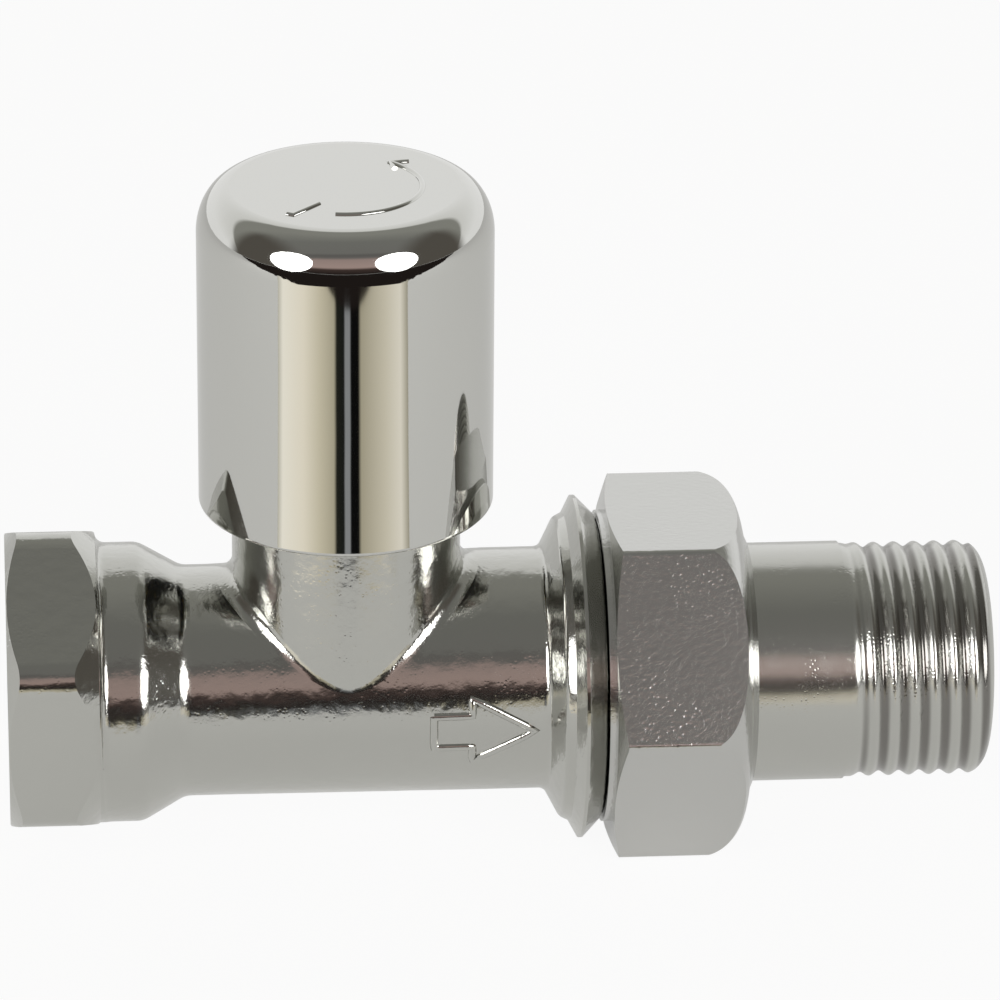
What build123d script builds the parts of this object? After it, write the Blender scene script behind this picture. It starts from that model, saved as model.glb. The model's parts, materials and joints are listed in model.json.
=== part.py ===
"""Straight radiator valve, half inch: a plated brass body with a female inlet and a
union outlet, a rising spindle under a chromed handwheel, and a screwed tailpiece.

Millimetres. The pipe axis is X, from the inlet mouth at the origin to the outlet.
The spindle axis is parallel to Z. The valve is drawn shut.
"""
import os
from math import sqrt

from build123d import *

# Pipe thread, drawn as a plain cylinder at its major diameter, and clearances
PIPE_THREAD_RADIUS = 20.955 / 2
THREAD_CLEARANCE = 0.1
SLIDING_CLEARANCE = 0.05
LOOSE_CLEARANCE = 0.3
SEATING_GAP = 0.05

# Inlet end of the body
INLET_HEX_FLATS = 26.0
INLET_HEX_LENGTH = 8.0
INLET_HEX_TURN = 35.0
INLET_HEX_ROUND = 3.0
HEX_EDGE_ROUND = 1.2
INLET_HEX_FRONT_SLOPE = 0.65
INLET_HEX_BACK_SLOPE = 1.3
HEX_FACE_STEP = 0.1
SOCKET_DEPTH = 11.5
MOUTH_CHAMFER = 0.8
COLLAR_RADIUS = 12.45
COLLAR_LENGTH = 3.8
COLLAR_CONE_LENGTH = 3.8
COLLAR_BLEND = 2.2
COLLAR_ROOT_ROUND = 0.9

# Barrel and neck of the body
BARREL_RADIUS_IN = 10.3
BARREL_RADIUS_OUT = 10.8
BARREL_DROP = 0.45
SPINDLE_X = 30.2
NECK_RADIUS = 10.1
NECK_TOP = 18.0
NECK_BLEND = 1.6
SADDLE_MARGIN = 0.6

# Waterways of the body
SEAT_HEIGHT = 2.0
SEAT_LIP_HEIGHT = 0.5
SEAT_LIP_WIDTH = 0.7
SEAT_RADIUS = 4.6
SEAT_WALL = 1.6
INLET_BORE_RADIUS = 7.6
INLET_WAY_RADIUS = 4.8
OUTLET_WAY_RADIUS = 4.0
CHAMBER_RADIUS = 6.9

# Union end of the body
FLARE_X = 47.6
FLARE_LENGTH = 1.35
FLARE_BLEND = 0.8
SHOULDER_RADIUS = 13.4
SHOULDER_LENGTH = 0.8
SHOULDER_RISE = 0.4
RING_STAND = 1.4
RING_RISE_LENGTH = 0.8
RING_FALL_LENGTH = 1.6
RING_LAND = 0.3
UNION_THREAD_LENGTH = 7.3
UNION_BORE_RADIUS = 8.4
UNION_BORE_DEPTH = 13.0
UNION_END_CHAMFER = 0.8

# Union nut
NUT_FLATS = 30.0
NUT_WALL = 1.7795
NUT_TURN = 0.0
NUT_EDGE_ROUND = 0.6
NUT_FRONT_GAP = 0.25
NUT_SKIRT_WALL = 0.7
NUT_SKIRT_LENGTH = 0.6
NUT_FRONT_SLOPE = 0.35
NUT_LIP = 2.6
NUT_DOME_LENGTH = 4.1
NUT_DOME_DROP = 4.9
NUT_END_LEAN = 0.65

# Tailpiece
GASKET_THICKNESS = 1.5
TAIL_COLLAR_ROOM = 0.9
TAIL_COLLAR_LENGTH = 2.2
TAIL_SPIGOT_LENGTH = 4.6
TAIL_SHANK_RADIUS = 10.66
TAIL_SHANK_LENGTH = 10.9
TAIL_THREAD_LENGTH = 13.0
TAIL_END_ROUND = 2.0
TAIL_END_DROP = 2.6
TAIL_BORE_RADIUS = 6.2
TAIL_KEY_FLATS = 13.0
TAIL_KEY_DEPTH = 9.0

# Headwork: bonnet, gland and seals
BONNET_THREAD_RADIUS = 7.5
BONNET_FOOT = 11.5
BONNET_HEX_FLATS = 18.0
BONNET_HEX_LENGTH = 4.2
BONNET_BARREL_RADIUS = 6.4
BONNET_SHOULDER = 1.5
BONNET_RING_SECTION = 1.4
BONNET_RING_ROOM = 0.1
GLAND_RADIUS = 5.0
GLAND_WASHER_THICKNESS = 0.8
GLAND_RING_ROOM = 0.1
GLAND_PACKING_LENGTH = 2.0
GLAND_NUT_FLATS = 12.0
GLAND_NUT_LENGTH = 2.8

# Spindle and closing disc
SPINDLE_LIFT = 3.75
SPINDLE_THREAD_RADIUS = 4.5
SPINDLE_THREAD_LENGTH = 5.6
STEM_RADIUS = 3.5
STEM_LENGTH = 17.0
SQUARE_FLATS = 5.4
SQUARE_LENGTH = 7.0
FOOT_NECK_RADIUS = 1.5
FOOT_NECK_LENGTH = 1.8
FOOT_RADIUS = 2.3
FOOT_LENGTH = 1.4
DISC_RADIUS = 6.5
DISC_RIM = 0.35
DISC_THICKNESS = 1.8
DISC_BOSS_RADIUS = 4.0
WASHER_THICKNESS = 2.5
WASHER_RIM_DEPTH = 1.4
WASHER_PLATE_RADIUS = 3.6
WASHER_PLATE_THICKNESS = 0.6
WASHER_SCREW_RADIUS = 1.5
WASHER_SCREW_HEAD_RADIUS = 2.6
WASHER_SCREW_HEAD_LENGTH = 1.3
CLIP_THICKNESS = 0.7
CLIP_DEPTH = 0.6
CLIP_GAP = 1.6

# Handwheel
WHEEL_RADIUS = 13.0
WHEEL_HEIGHT = 29.6
WHEEL_EDGE_ROUND = 2.9
WHEEL_EDGE_DROP = 4.2
WHEEL_RIM_ROUND = 0.4
WHEEL_WALL = 1.4
INSERT_FIT = 0.05
INSERT_RING_WALL = 1.2
INSERT_RING_LENGTH = 8.0
INSERT_HUB_RADIUS = 5.6
INSERT_HUB_LIP = 0.45
INSERT_WEB = 1.5
INSERT_RIB_THICKNESS = 1.2
INSERT_RIBS = 6
WHEEL_SCREW_RADIUS = 1.5
WHEEL_SCREW_LENGTH = 7.0
WHEEL_SCREW_HEAD_RADIUS = 2.8
WHEEL_SCREW_HEAD_LENGTH = 1.8
WHEEL_SCREW_SLOT_WIDTH = 0.8
WHEEL_SCREW_SLOT_DEPTH = 0.9
WHEEL_WASHER_RADIUS = 3.4
WHEEL_WASHER_THICKNESS = 0.6
WHEEL_SCREW_ROOM = 1.55
WHEEL_HUB_ROOM = 1.1

# Union sizes that follow the nut: its thread is a plain cylinder of 26.441 mm
UNION_THREAD_RADIUS = NUT_FLATS / 2 - NUT_WALL
NUT_SKIRT_RADIUS = UNION_THREAD_RADIUS + NUT_SKIRT_WALL
RING_RADIUS = NUT_SKIRT_RADIUS + RING_STAND
TAIL_COLLAR_RADIUS = UNION_THREAD_RADIUS - TAIL_COLLAR_ROOM

# Places along the pipe
COLLAR_END = INLET_HEX_LENGTH + COLLAR_LENGTH
BARREL_START = COLLAR_END + COLLAR_CONE_LENGTH
SADDLE_REACH = NECK_RADIUS + NECK_BLEND + SADDLE_MARGIN
SHOULDER_X = FLARE_X + FLARE_LENGTH
RING_RISE_X = SHOULDER_X + SHOULDER_LENGTH
RING_X = RING_RISE_X + RING_RISE_LENGTH
RING_END = RING_X + RING_LAND + RING_FALL_LENGTH
UNION_FACE = RING_END + UNION_THREAD_LENGTH
TAIL_COLLAR_START = UNION_FACE + GASKET_THICKNESS
TAIL_COLLAR_END = TAIL_COLLAR_START + TAIL_COLLAR_LENGTH
TAIL_THREAD_START = TAIL_COLLAR_END + TAIL_SHANK_LENGTH
TAIL_END = TAIL_THREAD_START + TAIL_THREAD_LENGTH
NUT_START = RING_END + NUT_FRONT_GAP
NUT_HEX_START = NUT_START + NUT_SKIRT_LENGTH
NUT_SHOULDER = TAIL_COLLAR_END + SLIDING_CLEARANCE
NUT_END = NUT_SHOULDER + NUT_LIP

# Places along the spindle, with the valve shut
INLET_WAY_Z = SEAT_HEIGHT - SEAT_WALL - INLET_WAY_RADIUS
OUTLET_WAY_Z = SEAT_HEIGHT - SEAT_WALL / 2 + OUTLET_WAY_RADIUS
WASHER_BOTTOM = SEAT_HEIGHT + SEAT_LIP_HEIGHT + SEATING_GAP
DISC_BOTTOM = WASHER_BOTTOM + WASHER_THICKNESS
DISC_TOP = DISC_BOTTOM + DISC_THICKNESS
FOOT_BOTTOM = DISC_TOP + SEATING_GAP
CLIP_BOTTOM = FOOT_BOTTOM + FOOT_LENGTH + SEATING_GAP
DISC_BOSS_TOP = CLIP_BOTTOM + CLIP_THICKNESS + CLIP_DEPTH
SPINDLE_THREAD_START = FOOT_BOTTOM + FOOT_LENGTH + FOOT_NECK_LENGTH
SPINDLE_THREAD_END = SPINDLE_THREAD_START + SPINDLE_THREAD_LENGTH
BONNET_GUIDE = SPINDLE_THREAD_END + SPINDLE_LIFT + SEATING_GAP
GLAND_FLOOR = BONNET_GUIDE + BONNET_SHOULDER
BONNET_HEX_TOP = NECK_TOP + BONNET_HEX_LENGTH
STEM_TOP = SPINDLE_THREAD_END + STEM_LENGTH
GLAND_NUT_TOP = STEM_TOP - WHEEL_HUB_ROOM
BONNET_TOP = GLAND_NUT_TOP - GLAND_NUT_LENGTH
SQUARE_TOP = STEM_TOP + SQUARE_LENGTH
INSERT_WEB_BOTTOM = SQUARE_TOP + SEATING_GAP
INSERT_WEB_TOP = INSERT_WEB_BOTTOM + INSERT_WEB
WHEEL_WASHER_TOP = INSERT_WEB_TOP + WHEEL_WASHER_THICKNESS
WHEEL_SCREW_TOP = WHEEL_WASHER_TOP + WHEEL_SCREW_HEAD_LENGTH
WHEEL_CEILING = WHEEL_SCREW_TOP + WHEEL_SCREW_ROOM
WHEEL_TOP = WHEEL_CEILING + WHEEL_WALL
WHEEL_BOTTOM = WHEEL_TOP - WHEEL_HEIGHT


def rod_x(radius, start, end):
    """A round bar along the pipe axis."""
    return Pos(start, 0, 0) * Rot(0, 90, 0) * Cylinder(
        radius, end - start, align=(Align.CENTER, Align.CENTER, Align.MIN)
    )


def rod_z(radius, bottom, top):
    """A round bar along the spindle axis."""
    return Pos(SPINDLE_X, 0, bottom) * Cylinder(
        radius, top - bottom, align=(Align.CENTER, Align.CENTER, Align.MIN)
    )


def ring_z(inner, outer, bottom, top):
    """A flat ring round the spindle axis."""
    return rod_z(outer, bottom, top) - rod_z(inner, bottom, top)


def turned_x(outline):
    """A turned piece round the pipe axis, from an outline of (x, radius)."""
    return revolve(make_face(outline), Axis.X)


def o_ring(section, inner, middle_z):
    """A rubber ring round the spindle axis."""
    return Pos(SPINDLE_X, 0, middle_z) * Torus(inner + section / 2, section / 2)


def hexagon(flats, edge_round, turn):
    """A hexagon across its flats, with its corners rounded."""
    shape = RegularPolygon(flats / 2, 6, major_radius=False, rotation=turn)
    return fillet(shape.vertices(), edge_round)


def hex_bar_x(flats, edge_round, turn, start, end):
    """A hexagon bar along the pipe axis."""
    return extrude(Plane.YZ.offset(start) * hexagon(flats, edge_round, turn), end - start)


def hex_bar_z(flats, edge_round, bottom, top):
    """A hexagon bar along the spindle axis."""
    profile = Pos(SPINDLE_X, 0, bottom) * hexagon(flats, edge_round, 0)
    return extrude(profile, top - bottom)


def corner_radius(flats):
    """How far the sharp corner of a hexagon is from its middle."""
    return flats / sqrt(3)


def inlet_hexagon():
    """The spanner hexagon at the inlet, chamfered at both ends."""
    tip = corner_radius(INLET_HEX_FLATS)
    land = INLET_HEX_FLATS / 2 - HEX_FACE_STEP
    front_cut = (tip - land) * INLET_HEX_FRONT_SLOPE
    back_cut = (tip - land) * INLET_HEX_BACK_SLOPE
    blank = turned_x(
        Polyline(
            (0, 0),
            (0, land),
            (front_cut, tip),
            (INLET_HEX_LENGTH - back_cut, tip),
            (INLET_HEX_LENGTH, land),
            (INLET_HEX_LENGTH, 0),
            close=True,
        )
    )
    return blank & hex_bar_x(INLET_HEX_FLATS, INLET_HEX_ROUND, INLET_HEX_TURN, 0, INLET_HEX_LENGTH)


def collar_root():
    """The hollow round between the hexagon's end and the collar, inside the hexagon's outline."""
    start = INLET_HEX_LENGTH
    end = start + COLLAR_ROOT_ROUND
    brim = COLLAR_RADIUS + COLLAR_ROOT_ROUND
    outline = RadiusArc((start, brim), (end, COLLAR_RADIUS), -COLLAR_ROOT_ROUND)
    outline += Polyline((end, COLLAR_RADIUS), (end, 0), (start, 0), (start, brim))
    ring = Pos(0, 0, -BARREL_DROP) * turned_x(outline)
    return ring & rod_x(INLET_HEX_FLATS / 2 - HEX_FACE_STEP, start, end)


def inlet_barrel():
    """The collar behind the hexagon and its cone down to the barrel, a little below the pipe axis."""
    start = INLET_HEX_LENGTH / 2
    end = SPINDLE_X - SADDLE_REACH
    side = FilletPolyline(
        (start, COLLAR_RADIUS),
        (COLLAR_END, COLLAR_RADIUS),
        (BARREL_START, BARREL_RADIUS_IN),
        (end, BARREL_RADIUS_IN),
        radius=COLLAR_BLEND,
    )
    ends = Polyline((end, BARREL_RADIUS_IN), (end, 0), (start, 0), (start, COLLAR_RADIUS))
    return Pos(0, 0, -BARREL_DROP) * turned_x(side + ends)


def middle_barrel():
    """The barrel under the neck, which rises from the inlet half to the outlet half."""
    start = Plane.YZ.offset(SPINDLE_X - SADDLE_REACH) * Pos(0, -BARREL_DROP) * Circle(BARREL_RADIUS_IN)
    end = Plane.YZ.offset(SPINDLE_X + SADDLE_REACH) * Circle(BARREL_RADIUS_OUT)
    return loft([start, end])


def outlet_barrel():
    """The barrel's outlet half, its flare, the pointed ring and the male union thread."""
    start = SPINDLE_X + SADDLE_REACH
    thread_radius = UNION_THREAD_RADIUS - THREAD_CLEARANCE
    side = FilletPolyline(
        (start, BARREL_RADIUS_OUT),
        (FLARE_X, BARREL_RADIUS_OUT),
        (SHOULDER_X, SHOULDER_RADIUS),
        (RING_RISE_X, SHOULDER_RADIUS + SHOULDER_RISE),
        radius=FLARE_BLEND,
    )
    rest = Polyline(
        (RING_RISE_X, SHOULDER_RADIUS + SHOULDER_RISE),
        (RING_X, RING_RADIUS),
        (RING_X + RING_LAND, RING_RADIUS),
        (RING_END, NUT_SKIRT_RADIUS - NUT_FRONT_GAP),
        (RING_END, thread_radius),
        (UNION_FACE - UNION_END_CHAMFER, thread_radius),
        (UNION_FACE, thread_radius - UNION_END_CHAMFER),
        (UNION_FACE, 0),
        (start, 0),
        (start, BARREL_RADIUS_OUT),
    )
    return turned_x(side + rest)


def waterways():
    """The space inside the body: inlet socket, way under the seat, chamber, outlet way and union bore."""
    socket = turned_x(
        Polyline(
            (0, 0),
            (0, PIPE_THREAD_RADIUS + MOUTH_CHAMFER),
            (MOUTH_CHAMFER, PIPE_THREAD_RADIUS),
            (SOCKET_DEPTH, PIPE_THREAD_RADIUS),
            (SOCKET_DEPTH, 0),
            close=True,
        )
    )
    bore_end = SPINDLE_X - CHAMBER_RADIUS - SEAT_WALL
    socket += rod_x(INLET_BORE_RADIUS, SOCKET_DEPTH, bore_end)
    under = Pos(0, 0, INLET_WAY_Z) * rod_x(INLET_WAY_RADIUS, SOCKET_DEPTH, SPINDLE_X)
    under += Pos(SPINDLE_X, 0, INLET_WAY_Z) * Sphere(INLET_WAY_RADIUS)
    seat_hole = rod_z(SEAT_RADIUS, INLET_WAY_Z, SEAT_HEIGHT + SEAT_LIP_HEIGHT)
    chamber = rod_z(CHAMBER_RADIUS, SEAT_HEIGHT, NECK_TOP)
    lip = ring_z(SEAT_RADIUS, SEAT_RADIUS + SEAT_LIP_WIDTH, SEAT_HEIGHT, SEAT_HEIGHT + SEAT_LIP_HEIGHT)
    over_start = SPINDLE_X + SEAT_RADIUS + SEAT_LIP_WIDTH + LOOSE_CLEARANCE
    over = Pos(0, 0, OUTLET_WAY_Z) * rod_x(OUTLET_WAY_RADIUS, over_start, UNION_FACE)
    union = rod_x(UNION_BORE_RADIUS, UNION_FACE - UNION_BORE_DEPTH, UNION_FACE)
    thread = rod_z(BONNET_THREAD_RADIUS, BONNET_FOOT - BONNET_RING_SECTION, NECK_TOP)
    ring_seat = rod_z(
        bonnet_ring_inner() + BONNET_RING_SECTION + BONNET_RING_ROOM,
        NECK_TOP - BONNET_RING_SECTION - BONNET_RING_ROOM,
        NECK_TOP,
    )
    return socket + under + seat_hole + (chamber + over - lip) + union + thread + ring_seat


def bonnet_ring_inner():
    """The inner radius of the ring that seals the bonnet in the neck."""
    return BONNET_THREAD_RADIUS - BONNET_RING_SECTION + BONNET_RING_ROOM


def valve_body():
    """The forged body."""
    barrel = inlet_barrel() + middle_barrel() + outlet_barrel()
    neck = rod_z(NECK_RADIUS, 0, NECK_TOP)
    outside = barrel + neck
    outside = fillet(new_edges(barrel, neck, combined=outside), NECK_BLEND)
    return outside + inlet_hexagon() + collar_root() - waterways()


def union_nut():
    """The hexagon union nut, with a round skirt and a domed outer end."""
    tip = corner_radius(NUT_FLATS)
    land = NUT_FLATS / 2
    cut = (tip - land) * NUT_FRONT_SLOPE
    hole = TAIL_SHANK_RADIUS + LOOSE_CLEARANCE
    dome_low = tip - NUT_DOME_DROP
    dome_end = NUT_END - NUT_END_LEAN
    dome_start = dome_end - NUT_DOME_LENGTH
    outline = Polyline(
        (NUT_HEX_START, 0),
        (NUT_HEX_START, land),
        (NUT_HEX_START + cut, tip),
        (dome_start, tip),
    )
    outline += EllipticalCenterArc((dome_start, dome_low), NUT_DOME_LENGTH, NUT_DOME_DROP, arc_size=90)
    outline += Polyline((dome_end, dome_low), (NUT_END, hole), (NUT_END, 0), (NUT_HEX_START, 0))
    nut = turned_x(outline) & hex_bar_x(NUT_FLATS, NUT_EDGE_ROUND, NUT_TURN, NUT_HEX_START, NUT_END)
    nut += rod_x(NUT_SKIRT_RADIUS, NUT_START, NUT_HEX_START)
    nut -= rod_x(UNION_THREAD_RADIUS, NUT_START, NUT_SHOULDER)
    return nut - rod_x(hole, NUT_SHOULDER, NUT_END)


def tailpiece():
    """The turned tailpiece: spigot, collar, shank, male thread and round end, with a key socket."""
    spigot_radius = UNION_BORE_RADIUS - SLIDING_CLEARANCE
    spigot_start = TAIL_COLLAR_START - TAIL_SPIGOT_LENGTH
    thread_end = TAIL_END - TAIL_END_ROUND
    end_radius = PIPE_THREAD_RADIUS - TAIL_END_DROP
    outline = Polyline(
        (TAIL_END, end_radius),
        (TAIL_END, 0),
        (spigot_start, 0),
        (spigot_start, spigot_radius),
        (TAIL_COLLAR_START, spigot_radius),
        (TAIL_COLLAR_START, TAIL_COLLAR_RADIUS),
        (TAIL_COLLAR_END, TAIL_COLLAR_RADIUS),
        (TAIL_COLLAR_END, TAIL_SHANK_RADIUS),
        (TAIL_THREAD_START, TAIL_SHANK_RADIUS),
        (TAIL_THREAD_START, PIPE_THREAD_RADIUS),
        (thread_end, PIPE_THREAD_RADIUS),
    )
    outline += EllipticalCenterArc((thread_end, end_radius), TAIL_END_ROUND, TAIL_END_DROP, arc_size=90)
    turned = turned_x(outline)
    turned -= rod_x(TAIL_BORE_RADIUS, spigot_start, TAIL_END)
    key = Plane.YZ.offset(TAIL_END) * RegularPolygon(TAIL_KEY_FLATS / 2, 6, major_radius=False)
    return turned - extrude(key, -TAIL_KEY_DEPTH)


def union_gasket():
    """The flat ring between the body's union face and the tailpiece's collar."""
    inner = UNION_BORE_RADIUS + SLIDING_CLEARANCE
    gasket = rod_x(TAIL_COLLAR_RADIUS, UNION_FACE, TAIL_COLLAR_START)
    return gasket - rod_x(inner, UNION_FACE, TAIL_COLLAR_START)


def bonnet():
    """The screwed headwork: thread in the neck, hexagon, gland barrel and the spindle's nut thread."""
    body = rod_z(BONNET_THREAD_RADIUS - SLIDING_CLEARANCE, BONNET_FOOT, NECK_TOP)
    groove_bottom = NECK_TOP - BONNET_RING_SECTION - BONNET_RING_ROOM
    groove_radius = bonnet_ring_inner() - SLIDING_CLEARANCE
    body -= ring_z(groove_radius, BONNET_THREAD_RADIUS, groove_bottom, NECK_TOP)
    body += hex_bar_z(BONNET_HEX_FLATS, HEX_EDGE_ROUND / 2, NECK_TOP, BONNET_HEX_TOP)
    body += rod_z(BONNET_BARREL_RADIUS, BONNET_HEX_TOP, BONNET_TOP)
    body -= rod_z(SPINDLE_THREAD_RADIUS + SLIDING_CLEARANCE, BONNET_FOOT, BONNET_GUIDE)
    body -= rod_z(STEM_RADIUS + SLIDING_CLEARANCE, BONNET_GUIDE, GLAND_FLOOR)
    return body - rod_z(GLAND_RADIUS + SLIDING_CLEARANCE, GLAND_FLOOR, BONNET_TOP)


def bonnet_o_ring():
    """The ring that seals the bonnet under its hexagon."""
    middle = NECK_TOP - (BONNET_RING_SECTION + BONNET_RING_ROOM) / 2
    return o_ring(BONNET_RING_SECTION, bonnet_ring_inner(), middle)


def gland_stack():
    """The thrust washer, rubber ring, packing and gland nut, one on the other round the stem."""
    inner = STEM_RADIUS + SLIDING_CLEARANCE
    section = GLAND_RADIUS - inner
    washer_top = GLAND_FLOOR + GLAND_WASHER_THICKNESS
    ring_top = washer_top + section + GLAND_RING_ROOM
    packing_top = ring_top + GLAND_PACKING_LENGTH
    nut = ring_z(inner, GLAND_RADIUS, packing_top, BONNET_TOP)
    head = hex_bar_z(GLAND_NUT_FLATS, HEX_EDGE_ROUND / 2, BONNET_TOP, GLAND_NUT_TOP)
    nut += head - rod_z(inner, BONNET_TOP, GLAND_NUT_TOP)
    return {
        "gland_washer": ring_z(inner, GLAND_RADIUS, GLAND_FLOOR, washer_top),
        "gland_o_ring": o_ring(section, inner, (washer_top + ring_top) / 2),
        "gland_packing": ring_z(inner, GLAND_RADIUS, ring_top, packing_top),
        "gland_nut": nut,
    }


def spindle():
    """The turned spindle: foot, screw thread, stem and square, tapped for the handwheel's screw."""
    bar = rod_z(FOOT_RADIUS, FOOT_BOTTOM, FOOT_BOTTOM + FOOT_LENGTH)
    bar += rod_z(FOOT_NECK_RADIUS, FOOT_BOTTOM + FOOT_LENGTH, SPINDLE_THREAD_START)
    bar += rod_z(SPINDLE_THREAD_RADIUS, SPINDLE_THREAD_START, SPINDLE_THREAD_END)
    bar += rod_z(STEM_RADIUS, SPINDLE_THREAD_END, STEM_TOP)
    square = Pos(SPINDLE_X, 0, STEM_TOP) * Rectangle(SQUARE_FLATS, SQUARE_FLATS)
    bar += extrude(square, SQUARE_LENGTH) & rod_z(STEM_RADIUS, STEM_TOP, SQUARE_TOP)
    return bar - rod_z(WHEEL_SCREW_RADIUS + SLIDING_CLEARANCE, SQUARE_TOP - WHEEL_SCREW_LENGTH, SQUARE_TOP)


def disc_holder():
    """The holder that carries the seat washer and turns freely on the spindle's foot."""
    washer_radius = DISC_RADIUS - DISC_RIM
    holder = rod_z(DISC_RADIUS, DISC_BOTTOM, DISC_TOP)
    holder += ring_z(washer_radius, DISC_RADIUS, DISC_BOTTOM - WASHER_RIM_DEPTH, DISC_BOTTOM)
    holder += rod_z(DISC_BOSS_RADIUS, DISC_TOP, DISC_BOSS_TOP)
    holder -= rod_z(FOOT_RADIUS + SLIDING_CLEARANCE, DISC_TOP, DISC_BOSS_TOP)
    holder -= ring_z(
        FOOT_RADIUS,
        FOOT_RADIUS + CLIP_DEPTH + SLIDING_CLEARANCE,
        CLIP_BOTTOM - SLIDING_CLEARANCE,
        CLIP_BOTTOM + CLIP_THICKNESS + SLIDING_CLEARANCE,
    )
    return holder - rod_z(WASHER_SCREW_RADIUS + SLIDING_CLEARANCE, DISC_BOTTOM, DISC_TOP)


def disc_clip():
    """The open spring ring that keeps the spindle's foot in the disc holder."""
    clip = ring_z(
        FOOT_NECK_RADIUS + LOOSE_CLEARANCE,
        FOOT_RADIUS + CLIP_DEPTH,
        CLIP_BOTTOM,
        CLIP_BOTTOM + CLIP_THICKNESS,
    )
    return clip - Pos(SPINDLE_X, -FOOT_RADIUS, CLIP_BOTTOM + CLIP_THICKNESS / 2) * Box(
        CLIP_GAP, 2 * FOOT_RADIUS, CLIP_THICKNESS
    )


def seat_washer():
    """The rubber washer that closes on the seat."""
    inner = WASHER_SCREW_RADIUS + SLIDING_CLEARANCE
    return ring_z(inner, DISC_RADIUS - DISC_RIM - SLIDING_CLEARANCE, WASHER_BOTTOM, DISC_BOTTOM)


def washer_plate():
    """The thin plate under the seat washer."""
    inner = WASHER_SCREW_RADIUS + SLIDING_CLEARANCE
    return ring_z(inner, WASHER_PLATE_RADIUS, WASHER_BOTTOM - WASHER_PLATE_THICKNESS, WASHER_BOTTOM)


def washer_screw():
    """The slotted screw that holds the seat washer to its holder."""
    head_top = WASHER_BOTTOM - WASHER_PLATE_THICKNESS
    head_bottom = head_top - WASHER_SCREW_HEAD_LENGTH
    screw = rod_z(WASHER_SCREW_HEAD_RADIUS, head_bottom, head_top)
    screw += rod_z(WASHER_SCREW_RADIUS, head_top, DISC_TOP - SEATING_GAP)
    slot = Box(2 * WASHER_SCREW_HEAD_RADIUS, WHEEL_SCREW_SLOT_WIDTH, WASHER_SCREW_HEAD_LENGTH)
    return screw - Pos(SPINDLE_X, 0, head_bottom) * slot


def capped_rod_z(radius, bottom, top, edge_round, edge_drop):
    """A round bar along the spindle axis whose top edge is a quarter of an ellipse."""
    shoulder = top - edge_drop
    flat = radius - edge_round
    edge = Line((flat, top), (0, top))
    edge += EllipticalCenterArc((flat, shoulder), edge_round, edge_drop, arc_size=90)
    rest = Polyline((0, top), (0, bottom), (radius, bottom), (radius, shoulder))
    return Pos(SPINDLE_X, 0, 0) * revolve(Plane.XZ * make_face(edge + rest), Axis.Z)


def handwheel_shell():
    """The chromed cap: a plain cup, mouth down, with a long round top edge."""
    outer = capped_rod_z(WHEEL_RADIUS, WHEEL_BOTTOM, WHEEL_TOP, WHEEL_EDGE_ROUND, WHEEL_EDGE_DROP)
    hollow = capped_rod_z(
        WHEEL_RADIUS - WHEEL_WALL,
        WHEEL_BOTTOM,
        WHEEL_CEILING,
        WHEEL_EDGE_ROUND - WHEEL_WALL / 2,
        WHEEL_EDGE_DROP - WHEEL_WALL / 2,
    )
    shell = outer - hollow
    return fillet(shell.edges().group_by(Axis.Z)[0], WHEEL_RIM_ROUND)


def insert_ribs(bottom, top, reach):
    """The ribs that join the insert's hub to its ring."""
    rib = Pos(0, 0, bottom) * Box(
        reach, INSERT_RIB_THICKNESS, top - bottom, align=(Align.MIN, Align.CENTER, Align.MIN)
    )
    return [Pos(SPINDLE_X, 0, 0) * Rot(0, 0, 360 * k / INSERT_RIBS) * rib for k in range(INSERT_RIBS)]


def handwheel_insert():
    """The moulded core of the handwheel: ring, ribs and a hub that fits the spindle's square."""
    outer = WHEEL_RADIUS - WHEEL_WALL - INSERT_FIT
    top = WHEEL_CEILING - WHEEL_EDGE_DROP + WHEEL_WALL / 2
    bottom = top - INSERT_RING_LENGTH
    core = ring_z(outer - INSERT_RING_WALL, outer, bottom, top)
    core += rod_z(INSERT_HUB_RADIUS, STEM_TOP + SEATING_GAP, INSERT_WEB_TOP + INSERT_HUB_LIP)
    for rib in insert_ribs(bottom, top, outer - INSERT_RING_WALL / 2):
        core += rib
    socket = Pos(SPINDLE_X, 0, STEM_TOP) * Rectangle(
        SQUARE_FLATS + 2 * SLIDING_CLEARANCE, SQUARE_FLATS + 2 * SLIDING_CLEARANCE
    )
    core -= extrude(socket, SQUARE_LENGTH + SEATING_GAP)
    core -= rod_z(WHEEL_SCREW_RADIUS + SLIDING_CLEARANCE, INSERT_WEB_BOTTOM, INSERT_WEB_TOP)
    return core - rod_z(WHEEL_WASHER_RADIUS + SLIDING_CLEARANCE, INSERT_WEB_TOP, WHEEL_TOP)


def handwheel_washer():
    """The washer under the handwheel screw's head."""
    inner = WHEEL_SCREW_RADIUS + SLIDING_CLEARANCE
    return ring_z(inner, WHEEL_WASHER_RADIUS, INSERT_WEB_TOP, WHEEL_WASHER_TOP)


def handwheel_screw():
    """The slotted screw that pulls the handwheel's core onto the spindle."""
    screw = rod_z(WHEEL_SCREW_HEAD_RADIUS, WHEEL_WASHER_TOP, WHEEL_SCREW_TOP)
    screw += rod_z(WHEEL_SCREW_RADIUS, SQUARE_TOP - WHEEL_SCREW_LENGTH + SEATING_GAP, WHEEL_WASHER_TOP)
    slot = Box(2 * WHEEL_SCREW_HEAD_RADIUS, WHEEL_SCREW_SLOT_WIDTH, 2 * WHEEL_SCREW_SLOT_DEPTH)
    return screw - Pos(SPINDLE_X, 0, WHEEL_SCREW_TOP) * slot


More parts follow.
